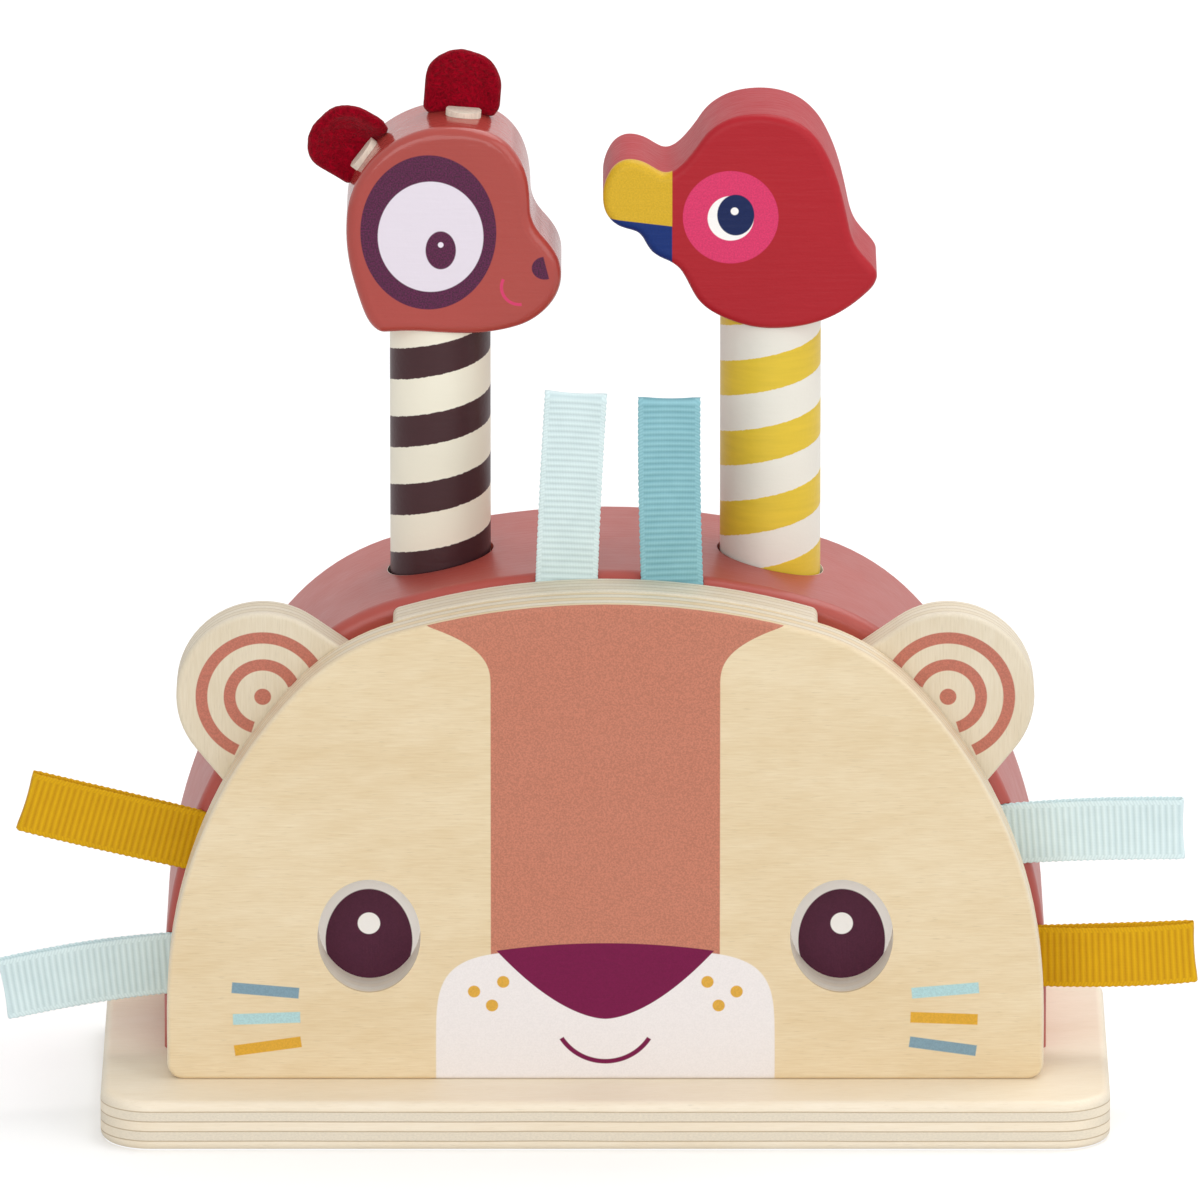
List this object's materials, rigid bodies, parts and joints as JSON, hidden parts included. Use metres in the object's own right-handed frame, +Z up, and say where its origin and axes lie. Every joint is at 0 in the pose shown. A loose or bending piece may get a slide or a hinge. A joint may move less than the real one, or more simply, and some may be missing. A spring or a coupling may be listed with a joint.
{
  "type": "pop up animal toy",
  "caption": "Wooden animal-face toy whose sprung animal-head pegs press down into a half-round block and pop back up, with fabric ribbon loops to tug.",
  "frame": {"origin": "centre of the base board's underside", "axes": "+X to the right as the face is seen, along the base; +Y to the back; +Z up"},
  "size_m": [0.2136, 0.08, 0.1882],
  "materials": {
    "birch_ply": "clear matt lacquer on sanded birch plywood, five plies showing at the edges",
    "birch_ply_printed": "clear matt lacquer on sanded birch plywood, printed on the front",
    "brick_paint": "satin brick-red paint on solid wood",
    "striped_paint_brown": "satin cream paint with dark brown spiral stripes",
    "striped_paint_yellow": "satin white paint with yellow spiral stripes",
    "bare_beech": "bare sanded beech",
    "russet_gloss_paint": "gloss russet paint on solid wood, printed eye",
    "red_satin_paint": "satin red paint on solid wood, printed eye and beak",
    "red_felt": "wool felt",
    "pale_blue_ribbon": "grosgrain ribbon",
    "teal_ribbon": "grosgrain ribbon",
    "mustard_ribbon": "grosgrain ribbon",
    "spring_steel": "drawn spring wire",
    "zinc_steel": "zinc plated"
  },
  "bodies": {
    "root": {"base_board": "birch_ply", "base_screws": "zinc_steel", "body_block": "brick_paint", "ear_board": "birch_ply_printed", "face_board": "birch_ply_printed", "ribbon_top_blue": "pale_blue_ribbon", "ribbon_top_teal": "teal_ribbon", "ribbon_left_mustard": "mustard_ribbon", "ribbon_left_blue": "pale_blue_ribbon", "ribbon_right_blue": "pale_blue_ribbon", "ribbon_right_mustard": "mustard_ribbon"},
    "left_turn": {"spring_left": "spring_steel"},
    "left_peg": {"rod_left": "striped_paint_brown", "stop_collar_left": "bare_beech", "lemur_head": "russet_gloss_paint", "felt_ear_front": "red_felt", "felt_ear_back": "red_felt", "ear_plug_front": "bare_beech", "ear_plug_back": "bare_beech"},
    "right_turn": {"spring_right": "spring_steel"},
    "right_peg": {"rod_right": "striped_paint_yellow", "stop_collar_right": "bare_beech", "parrot_head": "red_satin_paint"}
  },
  "joints": [
    {"name": "left_spin", "type": "hinge", "parent": "root", "child": "left_turn", "pos_m": [-0.0295, 0.015, 0.05], "axis": [0, 0, 1], "continuous": true},
    {"name": "left_press", "type": "slide", "parent": "left_turn", "child": "left_peg", "axis": [0, 0, 1], "range_m": [-0.036, 0], "stiffness_N_per_m": 150, "springref_m": 0.008, "deforming": ["spring_left"]},
    {"name": "right_spin", "type": "hinge", "parent": "root", "child": "right_turn", "pos_m": [0.0295, 0.015, 0.05], "axis": [0, 0, 1], "continuous": true},
    {"name": "right_press", "type": "slide", "parent": "right_turn", "child": "right_peg", "axis": [0, 0, 1], "range_m": [-0.036, 0], "stiffness_N_per_m": 150, "springref_m": 0.008, "deforming": ["spring_right"]}
  ]
}
